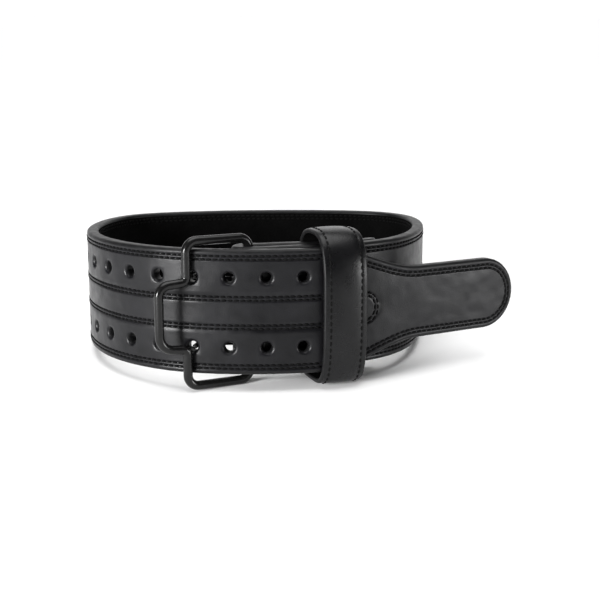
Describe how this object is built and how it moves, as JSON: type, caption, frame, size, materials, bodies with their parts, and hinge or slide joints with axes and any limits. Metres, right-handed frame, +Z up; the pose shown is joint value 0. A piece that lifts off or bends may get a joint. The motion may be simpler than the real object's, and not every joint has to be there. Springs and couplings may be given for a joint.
{
  "type": "weightlifting belt",
  "caption": "Thick black leather weightlifting belt fastened into a loop, with a stepped wire buckle, two prongs, a wide leather keeper and a tapered tongue.",
  "frame": {"origin": "centre of the bounding box's bottom face, on the floor the belt stands on", "axes": "+X along the belt's front from the buckle towards the tongue's tip, +Y from the front towards the back of the loop, +Z up"},
  "size_m": [0.3736, 0.2756, 0.1261],
  "materials": {
    "belt_leather": "satin",
    "keeper_leather": "satin",
    "frame_metal": "satin",
    "prong_metal": "satin"
  },
  "bodies": {
    "root": {"belt_body": "belt_leather", "buckle_frame": "frame_metal", "prong_upper": "prong_metal", "prong_lower": "prong_metal", "keeper_loop": "keeper_leather"}
  },
  "joints": []
}
